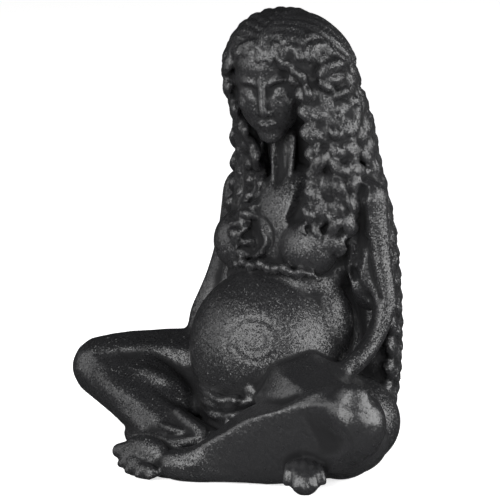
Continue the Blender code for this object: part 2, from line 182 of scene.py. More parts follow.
def rubIn(piece, centre, reach, push, place=Matrix.Identity(4)):
    # moves the skin near a point by push, fading to nothing at reach
    skin = readSkin(piece)
    home = np.array(place.inverted())
    offset = skin / mm @ home[:3, :3].T + home[:3, 3] - np.array(centre)
    share = np.clip(1 - ((offset / np.array(reach)) ** 2).sum(axis=1), 0, None) ** 2
    way = np.array(place.to_3x3() @ Vector(push)) * mm
    writeSkin(piece, skin + share[:, None] * way)


def pareFlat(piece, edge, azimuth, elevation, centre, reach, fade, soft):
    # takes off most of what stands proud of a plane through edge, fading out towards reach
    facing = np.array(wayTo(azimuth, elevation))
    skin = readSkin(piece)
    proud = np.clip((skin / mm - np.array(edge)) @ facing, 0, None)
    near = 1 - (((skin / mm - np.array(centre)) / np.array(reach)) ** 2).sum(axis=1)
    near = np.clip(fade * near, 0, 1)
    off = proud ** 2 / (proud + soft) * near * near * (3 - 2 * near)
    writeSkin(piece, skin - off[:, None] * facing * mm)


def cutGrooves(piece, cuts):
    # each cut is its points, its inward directions, its reach and its depth
    skin = piece.data.vertices
    tree = KDTree(len(skin))
    for vertex in skin:
        tree.insert(vertex.co, vertex.index)
    tree.balance()
    for points, inward, reach, depth in cuts:
        sunk = {}
        for point, way in zip(points, inward):
            for _, index, far in tree.find_range(point * mm, reach * mm):
                share = (1 - (far / (reach * mm)) ** 2) ** 2
                if share > sunk.get(index, (0, None))[0]:
                    sunk[index] = (share, way)
        for index, (share, way) in sunk.items():
            skin[index].co += way * depth * mm * share


# her body

head = {
    "at": (-1.0, -7.5, 68.6),
    "turn": 31,  # degrees towards her left
    "bow": 14,
    "lean": 5,
    "masses": [
        ((0, 1.4, 0.6), (6.6, 7.6, 8.2)),
        ((0, -2.4, -2.9), (5.6, 4.7, 6.8)),
        ((0, -4.5, -8.5), (2.6, 2.3, 2.0)),
        ((0, -2.2, 3.6), (5.0, 4.0, 3.8)),  # forehead
    ],
}
headPlace = (Matrix.Translation(head["at"]) @ Matrix.Rotation(math.radians(head["turn"]), 4, "Z")
             @ Matrix.Rotation(math.radians(head["bow"]), 4, "X")
             @ Matrix.Rotation(math.radians(-head["lean"]), 4, "Y"))

torso = {
    "masses": [
        ((0, 2.5, 8), (16, 10.5, 10)),  # hips
        ((0, 0.5, 22), (11.8, 9, 16)),  # waist
        ((-0.6, -1, 39), (13.2, 9, 13)),  # chest
        ((-0.4, -4.5, 32.5), (12, 8.6, 5.5)),  # ribs
        ((1, -9, 1.5), (17, 16, 4.5)),  # stone left between and under her legs
        ((0, -16.5, 4.5), (10, 8, 4.6)),
    ],
    "limbs": [
        [(-14.5, 0.2, 44.5, 3.9), (0, -0.5, 48.5, 5), (14.8, 0.5, 48, 3.9)],  # shoulders
        [(0, -1.8, 48, 4.2), (-0.8, -4.4, 53, 2.6), (-0.8, -4.2, 61, 2.9)],  # neck
        [(12.5, -1, 44, 3.0), (14.4, -1.0, 36, 2.2), (15.0, -0.2, 29.5, 2.0)],  # flanks
        [(-12.5, 0, 42, 3.6), (-14.4, -1, 33, 3.6), (-15.6, -2.4, 25, 3.8)],
    ],
}

arms = {
    "limbs": [  # upper arm and forearm, left and then right
        [(15.4, 0.6, 48.4, 3.1), (16.9, 0.9, 42, 2.4), (17.4, 0.9, 38, 2.25),
         (19.0, 1.0, 29.6, 2.2)],
        [(19.0, 1.0, 29.6, 2.2), (18.8, -2.0, 23.8, 2.0), (17.8, -6.8, 19.2, 1.9),
         (13, -12, 16.5, 2.1)],
        [(-15.4, 0, 46.3, 3.8), (-17, -0.5, 38, 3.3), (-18.8, -1.6, 30.5, 3.2),
         (-20.2, -4.6, 23.8, 3.0)],
        [(-20.2, -4.6, 23.8, 3.0), (-17.5, -9, 17, 2.9), (-12.8, -12.8, 12.8, 2.7),
         (-6.2, -16.3, 9.9, 2.9)],
    ],
}

legs = {
    "masses": [  # under her left thigh
        ((11.0, -1.4, 8.0), (10.1, 10.1, 8.6)),
        ((18.2, -9.5, 7.4), (7.6, 7.6, 7.6)),
        ((24.0, -14.0, 8.2), (7.5, 7.5, 6.2)),
    ],
    "limbs": [
        [(8, 1, 8.5, 8.0), (12.7, -12.5, 13.0, 9.4), (22, -17, 12.2, 7.7),
         (28.6, -18.2, 12.2, 6.9)],  # left thigh and shin
        [(28.6, -18.2, 12.0, 6.9), (20.5, -20.5, 9.2, 7.6), (12.5, -23.0, 7.0, 7.3),
         (7.5, -26.9, 4.9, 5.1), (3.3, -29.7, 3.3, 3.5), (-0.4, -31.6, 2.9, 3.0)],
        [(-8, 1.5, 9.5, 9.2), (-20, -9, 12.8, 8.9), (-27, -15, 14.4, 6.9),
         (-31.4, -18.9, 14.5, 5.8)],  # right thigh and shin
        [(-31.4, -18.9, 14.2, 5.6), (-21.5, -22, 11.0, 4.8), (-10, -24, 6.8, 4.7),
         (3, -23.5, 4.2, 3.8), (13, -21.5, 3.6, 3.4)],
        [(-26.4, -17.8, 12.6, 5.9), (-20, -18.2, 11.6, 6.0), (-13.6, -19.2, 9.6, 4.9)],
        [(-29.0, -22.5, 14.6, 2.2), (-23.2, -24.5, 12.4, 2.3), (-18.7, -25.1, 11.4, 2.3),
         (-13.2, -25.7, 9.6, 2.1), (-9.4, -26.3, 7.8, 1.7)],  # ridge of her right shin
        [(-18.5, -21.0, 15.2, 1.6), (-15.2, -20.3, 13.9, 2.1), (-12.4, -18.7, 12.7, 1.6)],  # calf
        [(9.8, -26.4, 9.8, 1.5), (15.8, -25.0, 12.0, 1.8), (20.6, -23.3, 13.9, 2.1),
         (25.0, -20.8, 16.5, 2.3), (27.0, -20.2, 17.0, 1.9)],  # ridge of her left shin
        [(30.7, -19.5, 17.6, 2.6), (31.3, -19.1, 17.4, 2.5)],  # left knee cap
    ],
    "hollows": [
        ((24.4, -24.8, 3.6), (6.6, 6.6, 4.8), (-3.6, 3.6, 1.0)),  # over her right toes
        ((15.5, -3.0, 24.5), (5.0, 6.5, 8.5), (-3.0, 4.2, 0)),  # between belly and left elbow
        ((13.0, -6.0, 37.5), (4.2, 4.2, 4.0), (-1.5, 2.0, 0)),  # beside her left breast
        ((33.2, -24.6, 8.2), (9.0, 9.0, 8.0), (-1.0, 1.0, -0.3)),  # below her left knee
    ],
    "shinFace": {  # the flat face under her left shin's ridge, seen leaning in towards the ground
        "edge": (21.7, -23.6, 14.1), "azimuth": 28, "elevation": -13,
        "centre": (17, -27, 7.5), "reach": (18, 15, 14), "fade": 1.4, "soft": 1.1,
    },
}

body = joinPieces("body", [
    roughOut("torso", torso), roughOut("head", head, headPlace),
    roughOut("arms", arms), roughOut("legs", legs),
])
oneSkin(body, *skins["blocked"])
for hollow in legs["hollows"]:
    rubIn(body, *hollow)
pareFlat(body, **legs["shinFace"])
print("body blocked out")


# her face, calm and with closed eyes; tables are her left, back and up from the head's middle

face = {
    "sockets": [((2.5, -6.3, -0.1), (2.3, 3.6, 1.7), (0, 1.25, 0))],
    "masses": [
        ((2.45, -4.75, -0.6), (1.5, 1.25, 1.0)),  # eye under its lid
        ((0.95, -7.2, -3.75), (0.62, 0.75, 0.6)),  # wing of the nose
        ((3.4, -3.9, -2.9), (2.0, 2.1, 1.9)),  # cheekbone
    ],
    "limbs": [
        [(1.3, -5.9, 1.2, 0.5), (2.6, -5.7, 1.7, 0.55), (4.2, -4.6, 1.3, 0.5)],  # brow
        [(1.15, -5.9, -0.85, 0.16), (2.45, -6.38, -1.2, 0.22), (3.7, -5.45, -0.8, 0.16)],  # lashes
    ],
    "middle": {
        "masses": [
            ((0, -5.2, -9.0), (1.7, 1.5, 1.3)),  # chin
            ((0, -5.6, -6.5), (2.3, 1.3, 1.5)),  # mouth
        ],
        "limbs": [
            [(0, -6.2, 1.6, 0.8), (0, -7.0, -0.8, 0.78), (0, -7.9, -2.9, 0.8),
             (0, -8.05, -3.6, 0.72)],  # nose
            [(-1.75, -6.35, -6.2, 0.2), (-0.75, -7.15, -5.95, 0.42), (0, -7.2, -6.1, 0.38),
             (0.75, -7.15, -5.95, 0.42), (1.75, -6.35, -6.2, 0.2)],  # upper lip
            [(-1.5, -6.3, -6.7, 0.2), (0, -6.9, -7.0, 0.42), (1.5, -6.3, -6.7, 0.2)],  # lower lip
        ],
    },
}

for side in (-1, 1):
    for centre, reach, push in face["sockets"]:
        rubIn(body, (side * centre[0], *centre[1:]), reach, push, headPlace)
twoSided = {
    "masses": [((side * at[0], *at[1:]), size) for at, size in face["masses"] for side in (-1, 1)],
    "limbs": [[(side * k[0], *k[1:]) for k in limb] for limb in face["limbs"] for side in (-1, 1)],
}
features = joinPieces("features", [
    roughOut("both sides", twoSided, headPlace), roughOut("middle", face["middle"], headPlace),
])
print("face laid on")


# neck, belly, breasts, hands, feet and the folds at her ankles

throat = {
    "limbs": [
        [(-1.6, -6.3, 58, 0.5), (-0.8, -6.9, 53.1, 0.6), (-0.9, -6.7, 49.8, 0.65),
         (0.3, -6.9, 48.5, 0.5)],
        [(2.1, -4.8, 58, 0.5), (2.1, -5.4, 53.2, 0.6), (1.9, -6.0, 50.0, 0.65),
         (1.0, -6.7, 48.6, 0.5)],
        [(-0.1, -10.6, 42.1, 0.5), (1.5, -10.7, 40.1, 0.8), (0.6, -10.9, 38.4, 0.8),
         (-1.6, -11.0, 36.9, 0.5)],  # fold between her breasts
    ],
}

flesh = {
    "masses": [
        ((0, -8.7, 20.9), (14.3, 14.3, 14.3)),  # belly
        ((8.8, -4.0, 25.0), (5.2, 5.2, 8.4)),  # its fuller left side
        ((8.0, -7.0, 39.4), (5.4, 4.8, 5.2)),  # breasts, left and right
        ((-7.1, -8.3, 39.0), (5.3, 5.2, 5.6)),
        ((0.8, -3.6, 40.0), (9.5, 7.0, 12.5)),  # breastbone
    ],
}

hand = {
    "masses": [
        ((-5.4, -16.6, 11.0), (4.2, 2.8, 3.0)), ((3.4, -22.0, 9.6), (1.2, 1.2, 1.2)),
        ((1.8, -22.7, 13.4), (1.3, 1.0, 0.9)), ((4.6, -22.1, 13.6), (1.1, 0.9, 0.9)),
        ((6.4, -19.9, 15.3), (1.4, 1.1, 1.2)), ((7.6, -19.6, 14.2), (1.1, 1.0, 0.9)),
        ((0.0, -22.0, 10.4), (2.2, 0.9, 0.9)),
    ],
    "fingers": [  # root, knuckles and tip, with their girths
        [(-8.0, -17.6, 14.0, 1.2), (-2.8, -21.2, 14.0, 1.1), (1.4, -22.4, 13.4, 0.9),
         (4.6, -21.8, 14.0, 0.8)],
        [(-7.6, -17.6, 12.4, 1.2), (-2.2, -21.5, 12.3, 1.2), (3.0, -21.9, 12.4, 1.0),
         (6.6, -20.4, 13.6, 0.9)],
        [(-7.2, -17.2, 10.8, 1.15), (-1.8, -21.2, 10.6, 1.15), (3.4, -21.2, 10.9, 1.0),
         (7.2, -19.0, 12.4, 0.9)],
        [(-6.6, -17.0, 9.4, 1.1), (-1.6, -20.5, 9.0, 1.1), (2.0, -21.2, 9.2, 0.95)],
    ],
}

leftFoot = {
    "masses": [((-7.6, -31.8, 3.7), (5.4, 2.5, 3.5)), ((-4.2, -29.4, 2.2), (4.6, 3.4, 2.8)),
               ((-10.0, -33.2, 3.0), (3.0, 1.5, 2.2)), ((-8.0, -34.2, 1.9), (2.8, 1.3, 1.8)),
               ((-5.2, -34.6, 1.5), (3.2, 1.3, 1.5))],
    "toes": [
        [(-9.5, -32.4, 4.6, 1.5), (-11.5, -32.8, 4.3, 1.4), (-13.0, -33.1, 3.8, 1.4)],
        [(-8.3, -33.6, 2.9, 1.0), (-9.7, -34.2, 2.5, 0.85), (-11.0, -34.6, 2.0, 0.85)],
        [(-6.8, -34.0, 2.1, 0.9), (-7.9, -34.8, 1.8, 0.75), (-8.7, -35.2, 1.2, 0.75)],
        [(-4.8, -34.2, 1.7, 0.85), (-5.4, -35.1, 1.5, 0.7), (-5.8, -35.7, 0.9, 0.7)],
        [(-2.6, -33.8, 1.5, 0.8), (-3.0, -34.9, 1.3, 0.65), (-3.2, -35.5, 0.8, 0.65)],
    ],
}

rightFoot = {
    "masses": [((21.6, -21.8, 2.6), (3.4, 3.4, 2.9)), ((24.0, -24.2, 2.1), (2.5, 2.5, 2.3))],
    "toes": 5,
    "spacing": 1.5,
    "girth": 0.86,
    "thinner": 0.03,  # each toe than the one before it
    "waist": 0.9,  # share of the girth in the middle of a toe
    "root": (22.2, -22.6, 5.2),  # of the middle toe
    "knuckle": (0.5, -0.5, 0.7),  # how far it bends out
    "reach": 25.7,  # how far forward and how far left its tip lies
    "tipIn": 0.2,
    "tipHeight": 1.5,
    "shorter": 0.18,  # the toes beside it
    "arch": 0.08,
    "fan": (0.62, 0.74),  # of roots and tips
}


def rightToes():
    runs = []
    x, y, z = rightFoot["root"]
    for k in range(rightFoot["toes"]):
        aside = (k - rightFoot["toes"] // 2) * rightFoot["spacing"]
        reach = rightFoot["reach"] - rightFoot["shorter"] * aside ** 2
        arch = rightFoot["arch"] * aside ** 2
        rootFan, tipFan = (fan * aside for fan in rightFoot["fan"])
        root = Vector((x + rootFan, y + rootFan, z - arch))
        tip = Vector((reach - rightFoot["tipIn"] + tipFan, -reach + tipFan,
                      rightFoot["tipHeight"] + arch))
        middle = (root + tip) / 2 + Vector(rightFoot["knuckle"])
        girth = rightFoot["girth"] - rightFoot["thinner"] * k
        runs.append([(*root, girth), (*middle, girth * rightFoot["waist"]), (*tip, girth)])
    return runs


folds = {  # rolls of flesh where her right ankle turns under the other shin
    "limbs": [
        [(-18.5, -25.4, 5.2, 1.0), (-14.5, -27.6, 5.0, 1.5), (-9.0, -28.3, 5.9, 1.4),
         (-4.8, -28.1, 5.5, 1.3), (-2.2, -27.8, 6.0, 1.2), (0.6, -26.6, 7.0, 1.1)],
        [(-8.6, -27.6, 8.3, 0.7), (-5.6, -27.9, 8.0, 0.95), (-3.4, -27.3, 7.7, 0.7)],
        [(-7.0, -24.8, 10.5, 0.8), (-2.8, -25.6, 9.0, 1.1), (0.2, -25.9, 7.9, 1.3)],
        [(-10.6, -32.6, 4.7, 0.6), (-6.6, -32.8, 5.0, 0.9), (-3.0, -32.2, 3.8, 1.0),
         (0.9, -32.6, 3.3, 1.1), (4.1, -31.6, 3.4, 1.2)],
    ],
}

details = [
    features,
    roughOut("throat", throat),
    roughOut("flesh", flesh),
    roughOut("hand", {"masses": hand["masses"], "limbs": hand["fingers"]}),
    roughOut("left foot", {"masses": leftFoot["masses"], "limbs": leftFoot["toes"]}),
    roughOut("right foot", {"masses": rightFoot["masses"], "limbs": rightToes()}),
    roughOut("folds", folds),
]
body = joinPieces("body", [body] + details)
oneSkin(body, *skins["detailed"])
print("hands, feet and folds laid on")


# her hair: locks from the parting over the skull, down her back or over her breasts

hair = {
    "locksBehind": 7,  # each side, from her spine to her shoulder
    "locksBefore": (4, 4),  # before her shoulder to the edge of her face, right and left
    "strands": (-0.8, 0.0, 0.8),  # side by side in each lock
    "girth": 0.86,  # of a strand
    "bulge": 0.14,  # share by which it thickens between two bends
    "tuck": 0.18,  # how far the outer strands lie under the middle one
    "proud": 0.5,  # of the smooth shapes below
    "under": -0.9,  # the same for the locks that curls lie over
    "wave": 4.2,  # mean length of one crimp
    "drift": (0.6, 0.31),  # how far and how fast the crimps run ahead and lag
    "swing": 0.8,  # from side to side
    "lift": 0.4,  # in and out
    "lag": 0.5,  # of the lift after the swing
    "stagger": 0.7,  # of the strands of one lock
    "easeIn": 5,  # length over which the crimps grow
    "smooth": (2, 14),  # least length without crimps, and how much more at her spine
    "widths": (0.5, 0.25),  # share of a lock's width at the parting and at its tip
    "widestAt": 13,
    # lead of a lock over the next, how much the wave varies, and length of the tip
    "behind": (0.6, 0.03, 1),
    "before": (2.1, 0.16, 9),
    "beat": 2.3,  # of the waves' change from lock to lock
    "capAt": (-0.5, -3.0, 68.6),
    "capRadius": 10.9,
    "capRise": (-0.08, -0.08, 1.02),
    "capKnots": 5,
    "crown": 0.4,  # how much the locks arch over the cap
    "droop": -0.12,
    "faceEdge": (136, 121),  # degrees from her spine, right and left
    "fallsBehind": 98,
    "backKnots": (60.5, 6.5, 10),  # height of the first, distance and number
    "middle": -2.0,  # how far forward the upright line is that strands stand out from
    # height, how far back the middle lies, half width and half depth
    "backFall": [
        (-6, 3.0, 10.5, 7.4), (0, 3.6, 12.0, 8.0), (12, 4.7, 14.4, 8.6), (22, 5.0, 15.1, 8.8),
        (33, 4.6, 15.0, 8.8), (43, 3.8, 14.1, 8.7), (54, 1.9, 12.1, 8.8), (64, 0.0, 10.8, 8.8),
        (74, -2.6, 8.4, 7.4),
    ],
    # outer and inner edge of the fall before each shoulder, right side then left
    "frontFall": [
        ([(-11.2, -5.6, 61), (-11.3, -5.4, 56), (-11.8, -4.8, 51.5), (-12.4, -4.6, 47),
          (-12.8, -5.6, 42), (-12.4, -8.0, 37)],
         [(-6.8, -9.8, 61), (-4.9, -8.4, 56), (-4.4, -7.2, 51.5), (-4.0, -7.6, 47),
          (-4.0, -10.8, 43), (-4.2, -13.4, 38.5)]),
        ([(12.4, -1.8, 61), (13.4, -1.6, 56), (14.6, -1.8, 51.5), (15.2, -3.0, 47),
          (15.0, -4.8, 42.5), (14.4, -6.4, 38.5)],
         [(9.6, -8.0, 61), (10.0, -7.0, 56), (10.4, -7.2, 51.5), (10.6, -8.4, 48),
          (10.6, -9.8, 45), (10.2, -10.8, 42.6)]),
    ],
    "limbs": [  # under the locks before each shoulder
        [(8.8, -4.6, 66, 2.6), (10.0, -3.6, 57, 2.4), (11.2, -3.0, 49, 2.8), (11.0, -4.8, 42, 2.6)],
        [(-7.3, -8.4, 67, 2.4), (-7.6, -6.0, 57, 2.8), (-8.8, -4.4, 49, 3.2),
         (-9.6, -5.2, 42, 2.8)],
    ],
}
parting = {
    "from": 100,  # degrees over her brow where the locks at her spine leave it
    "run": 78,  # degrees from there to the locks at her face
    "aside": 0.16,  # towards her left
    "gap": 0.06,  # from it to the locks
    "ridge": {"from": 30, "step": 4, "knots": 20, "aside": 0.24, "turn": 0.006, "lift": 0.25,
              "girth": 0.8, "swell": 0.3, "beat": 0.5},
}
capAt = Vector(hair["capAt"])
capRise = Vector(hair["capRise"])
backShape = smoothRun(hair["backFall"], steps=8)


def curtainAt(height, angle, lift=0.0):
    # a point of the fall behind her; angle 0 is her spine and 90 degrees her left side
    low, high = next((s for s in zip(backShape, backShape[1:]) if s[1][0] >= height),
                     (backShape[-2], backShape[-1]))
    t = (height - low[0]) / (high[0] - low[0])
    back, wide, deep = (a + (b - a) * t for a, b in zip(low[1:], high[1:]))
    return Vector(((wide + lift) * math.sin(angle), back + (deep + lift) * math.cos(angle), height))


def onCap(way, lift):
    # a point of the cap of hair over her skull, lifted off it
    return capAt + (Vector((way.x, way.y, 0)) + capRise * way.z) * (hair["capRadius"] + lift)


def outOf(point):
    # the way out of her hair at a point
    return Vector((point.x, point.y - hair["middle"], max(0.0, point.z - capAt.z))).normalized()


def partingWay(rise, aside):
    # from the middle of the cap to her parting, at an angle in degrees over her brow
    return Vector((aside, -math.cos(math.radians(rise)), math.sin(math.radians(rise)))).normalized()


def lockPath(side, angle, across):
    # a lock that leaves her spine's line at angle; across is its place in the fall before her
    # shoulder, 0 at the outer edge and 1 at her face, or None for a lock behind her
    edge = math.radians(hair["faceEdge"][side > 0])
    spread = angle / edge
    start = partingWay(parting["from"] - parting["run"] * spread,
                       parting["aside"] + parting["gap"] * side)
    fall = Vector((side * math.sin(angle), math.cos(angle), hair["droop"])).normalized()
    proud = hair["under"] if across is not None and side > 0 else hair["proud"]
    knots = []
    for i in range(hair["capKnots"]):
        t = i / (hair["capKnots"] - 1)
        way = start * math.cos(t * math.pi / 2) + fall * math.sin(t * math.pi / 2)
        way += Vector((0, 0, hair["crown"] * spread * math.sin(t * math.pi)))
        knots.append(onCap(way.normalized(), hair["proud"] + (proud - hair["proud"]) * t))
    if across is None:
        top, apart, count = hair["backKnots"]
        return knots + [curtainAt(top - apart * i, side * angle, hair["proud"])
                        for i in range(count)]
    return knots + [Vector(a).lerp(Vector(b), across) for a, b in zip(*hair["frontFall"][side > 0])]


def crimp(run, side, start, wave, ease, aside, taper):
    # a strand, aside from the middle of its lock, that swings from side to side and in and out
    points = [Vector(p[:3]) for p in run]
    whole = sum((b - a).length for a, b in zip(points, points[1:]))
    ahead, rate = hair["drift"]
    atRoot, atTip = hair["widths"]
    length = 0.0
    strand = []
    for i, point in enumerate(points):
        if i:
            length += (point - points[i - 1]).length
        way = (points[min(i + 1, len(points) - 1)] - points[max(i - 1, 0)]).normalized()
        out = outOf(point)
        across = out.cross(way).normalized() * side
        turn = 2 * math.pi * length / wave + start + ahead * math.sin(rate * length + start)
        turn += hair["stagger"] * aside
        grown = min(1.0, max(0.0, (length - ease) / hair["easeIn"]))
        broad = atRoot + (1 - atRoot) * min(1.0, length / hair["widestAt"])
        broad *= min(1.0, atTip + (whole - length) / taper)
        spot = point + across * (hair["swing"] * grown * math.sin(turn) + aside * broad)
        spot += out * (hair["lift"] * grown * math.cos(turn + hair["lag"])
                       - hair["tuck"] * abs(aside))
        bulge = 1 + hair["bulge"] * grown * math.sin(2 * turn)
        strand.append((*spot, hair["girth"] * broad * bulge))
    return strand


def allLocks():
    runs = []
    behind = math.radians(hair["fallsBehind"])
    least, more = hair["smooth"]
    for side in (-1, 1):
        plan = [(behind * k / hair["locksBehind"], None)
                for k in range(side < 0, hair["locksBehind"])]
        before = hair["locksBefore"][side > 0]
        edge = math.radians(hair["faceEdge"][side > 0])
        plan += [(behind + (edge - behind) * k / (before - 1), k / (before - 1))
                 for k in range(before)]
        for k, (angle, across) in enumerate(plan):
            run = smoothRun([tuple(q) for q in lockPath(side, angle, across)], steps=12)
            ease = least + more * (1 - angle / edge) ** 0.5
            # the locks behind her lie nearly in step, those before her each in its own time
            lead, vary, taper = hair["behind"] if across is None else hair["before"]
            start = lead * k if across is None else lead * k * k
            wave = hair["wave"] * (1 + vary * math.sin(hair["beat"] * k + side))
            for aside in hair["strands"]:
                runs.append(crimp(run, side, start, wave, ease, aside, taper))
    return runs


curls = {
    "sink": 0.45,
    "endSink": 0.35,  # and how much deeper the ends go
    "endGirth": 0.8,
    "runs": [  # girth and way of each, from her brow to her left breast
        (1.2, [(-3.0, -14.3, 73.6), (-2.3, -13.9, 74.8)]),
        (1.3, [(-1.2, -13.8, 75.2), (-0.1, -13.5, 75.6)]),
        (1.1, [(1.2, -13.6, 75.2), (1.9, -13.5, 74.4)]),
        (1.0, [(-0.9, -14.4, 73.9), (0.2, -14.2, 74.1)]),
        (1.2, [(3.5, -12.6, 74.4), (3.9, -11.7, 75.6)]),
        (1.1, [(5.1, -10.4, 76.3), (5.7, -9.4, 76.5)]),
        (0.9, [(4.9, -12.2, 73.9), (4.9, -11.4, 74.8)]),
        (1.1, [(5.6, -11.8, 73.5), (5.6, -10.3, 74.8), (7.0, -9.4, 74.8), (8.2, -9.7, 73.6)]),
        (0.9, [(-4.4, -13.4, 72.0), (-3.6, -13.9, 72.6)]),
        (0.8, [(0.9, -14.0, 73.2), (1.9, -13.7, 73.0)]),
        (0.8, [(3.1, -13.2, 73.3), (3.9, -13.0, 72.7)]),
        (0.9, [(5.6, -12.3, 73.3), (6.3, -12.1, 72.5)]),
        (0.8, [(7.1, -11.6, 72.6), (7.7, -11.1, 71.9)]),
        (0.9, [(8.0, -11.0, 71.2), (9.2, -10.2, 70.3), (9.4, -9.7, 68.9)]),
        (0.8, [(9.8, -9.6, 68.2), (10.2, -9.4, 67.0), (9.8, -9.4, 65.8)]),
        (1.1, [(7.4, -7.8, 76.3), (7.5, -6.0, 76.8), (8.1, -4.4, 76.5)]),
        (1.3, [(9.1, -8.1, 73.5), (8.6, -7.1, 74.9), (8.7, -4.5, 75.1), (10.0, -3.7, 74.3)]),
        (1.1, [(9.7, -6.7, 73.0), (10.6, -5.4, 73.4)]),
        (1.4, [(11.2, -6.7, 70.4), (11.2, -5.5, 71.5), (11.4, -3.2, 71.8), (11.1, -1.4, 70.8)]),
        (1.1, [(11.4, -6.0, 69.2), (11.7, -4.2, 69.2), (11.7, -2.2, 69.4)]),
        (0.7, [(11.4, -7.2, 68.7), (11.7, -6.0, 67.9), (11.9, -4.7, 67.4)]),
        (0.9, [(12.4, -3.9, 66.3), (12.3, -2.6, 67.0), (11.8, -0.7, 66.5), (12.2, -1.2, 65.7)]),
        (1.1, [(12.2, -1.0, 64.1), (12.0, 0.6, 64.9), (12.5, 1.4, 63.8)]),
        (1.4, [(12.5, 0.7, 62.8), (12.5, -0.3, 61.2), (12.3, -1.9, 59.8), (12.9, -4.6, 59.5)]),
        (1.2, [(12.5, -3.8, 62.7), (12.3, -1.9, 61.7)]),
        (1.0, [(12.3, -5.8, 61.0), (12.9, -5.7, 60.1), (13.3, -5.1, 59.4)]),
        (1.0, [(12.9, -0.2, 58.0), (12.6, 0.8, 58.9), (13.0, 1.4, 57.6)]),
        (1.2, [(12.6, -5.3, 57.7), (13.0, -4.8, 56.6), (12.6, -2.6, 56.0), (12.2, -0.5, 56.5),
               (12.8, -0.4, 57.3)]),
        (1.3, [(13.2, -5.8, 55.0), (13.6, -5.2, 53.7), (14.2, -3.8, 53.3), (13.2, -1.4, 52.9),
               (13.0, -0.1, 54.1)]),
        (1.4, [(13.1, -5.4, 52.1), (14.1, -5.7, 50.6), (14.7, -4.8, 48.8)]),
        (1.2, [(13.8, -6.4, 47.3), (14.1, -5.2, 46.7), (14.5, -4.1, 47.3)]),
        (1.2, [(14.4, -7.4, 43.0), (14.7, -6.7, 44.6), (13.9, -4.2, 44.5)]),
        (1.2, [(13.8, -7.6, 41.9), (13.9, -6.5, 40.0), (13.5, -4.1, 41.8)]),
        (0.8, [(14.4, -3.0, 45.5), (14.8, -2.6, 45.0)]),
        (0.8, [(14.8, -2.8, 43.6), (15.1, -2.7, 42.4)]),
        (1.0, [(12.5, 0.2, 55.2), (12.8, 1.3, 55.3), (13.1, 2.6, 55.7)]),
        (1.0, [(13.8, 0.2, 52.2), (13.9, 1.7, 52.5), (13.4, 4.6, 52.3)]),
        (1.4, [(11.9, -6.4, 56.5), (11.5, -7.8, 55.2), (10.7, -8.4, 53.0)]),
        (1.5, [(10.3, -8.5, 51.0), (11.1, -8.4, 49.2), (11.9, -8.2, 47.1)]),
        (1.0, [(10.5, -10.4, 46.9), (11.2, -10.2, 45.9), (11.5, -9.8, 44.8)]),
        (0.6, [(11.1, -7.4, 58.3), (11.3, -8.6, 57.1)]),
        (0.8, [(-7.4, -9.8, 44.4), (-6.9, -9.0, 45.2), (-3.6, -11.0, 45.4)]),
        (1.1, [(-6.4, -13.0, 41.0), (-4.4, -13.6, 41.2), (-4.4, -13.9, 39.9)]),
        (0.9, [(-6.5, -11.1, 43.6), (-3.9, -11.7, 44.5), (-2.4, -11.0, 44.2)]),
        (0.9, [(-3.3, -12.8, 39.6), (-2.4, -11.1, 39.6), (-2.7, -11.0, 38.1)]),
        (0.8, [(-6.5, -12.4, 42.3), (-4.4, -12.4, 42.9)]),
        (0.8, [(-4.2, -13.0, 37.4), (-3.2, -11.5, 37.2)]),
    ],
}


def allCurls():
    runs = []
    for girth, knots in curls["runs"]:
        sunk = []
        for i, knot in enumerate(knots):
            point = Vector(knot)
            atEnd = i in (0, len(knots) - 1)
            deep = curls["sink"] + (curls["endSink"] if atEnd else 0)
            thick = girth * (curls["endGirth"] if atEnd else 1)
            sunk.append((*(point - outOf(point) * deep), thick))
        runs.append(smoothRun(sunk, steps=5))
    return runs


def partingRidge():
    # the low smooth ridge along her parting
    ridge = parting["ridge"]
    run = []
    for i in range(ridge["knots"]):
        way = partingWay(ridge["from"] + ridge["step"] * i, ridge["aside"] - ridge["turn"] * i)
        girth = ridge["girth"] + ridge["swell"] * math.sin(ridge["beat"] * i)
        run.append((*onCap(way, ridge["lift"]), girth))
    return run


core = {  # the smooth mass of the hair under its locks
    "foot": -4,
    "rise": 5.4,  # from loop to loop
    "loops": 14,
    "points": 32,  # of each loop
    "lift": -0.1,
    "flatter": 0.45,  # share of its depth towards her front
    # over her skull: back and up from the middle of the cap, and how much smaller than the cap
    "skull": [(1.2, 0.5, 0.9), (1.6, 2.4, 2.7)],
}


def hairCore(height, angle):
    # under the locks behind her, and flatter towards her front
    point = curtainAt(height, angle, core["lift"])
    back = curtainAt(height, math.pi / 2).y
    if point.y < back:
        point.y = back + (point.y - back) * core["flatter"]
    return point


def hairBody():
    stone = bmesh.new()
    count = core["points"]
    loops = [
        [stone.verts.new(hairCore(core["foot"] + core["rise"] * i, 2 * math.pi * k / count) * mm)
         for k in range(count)]
        for i in range(core["loops"])
    ]
    for low, high in zip(loops, loops[1:]):
        for k in range(count):
            n = (k + 1) % count
            stone.faces.new((low[n], low[k], high[k], high[n]))
    stone.faces.new(loops[0])
    stone.faces.new(list(reversed(loops[-1])))
    mesh = bpy.data.meshes.new("hair body")
    stone.to_mesh(mesh)
    stone.free()
    piece = bpy.data.objects.new("hair body", mesh)
    bpy.context.scene.collection.objects.link(piece)
    back = headPlace.to_3x3() @ Vector((0, 1, 0))
    under = {
        "masses": [(capAt + back * behind + capRise * up, (hair["capRadius"] - less,) * 3)
                   for behind, up, less in core["skull"]],
        "limbs": hair["limbs"],
    }
    return joinPieces("hair body", [piece, roughOut("skull of hair", under)])


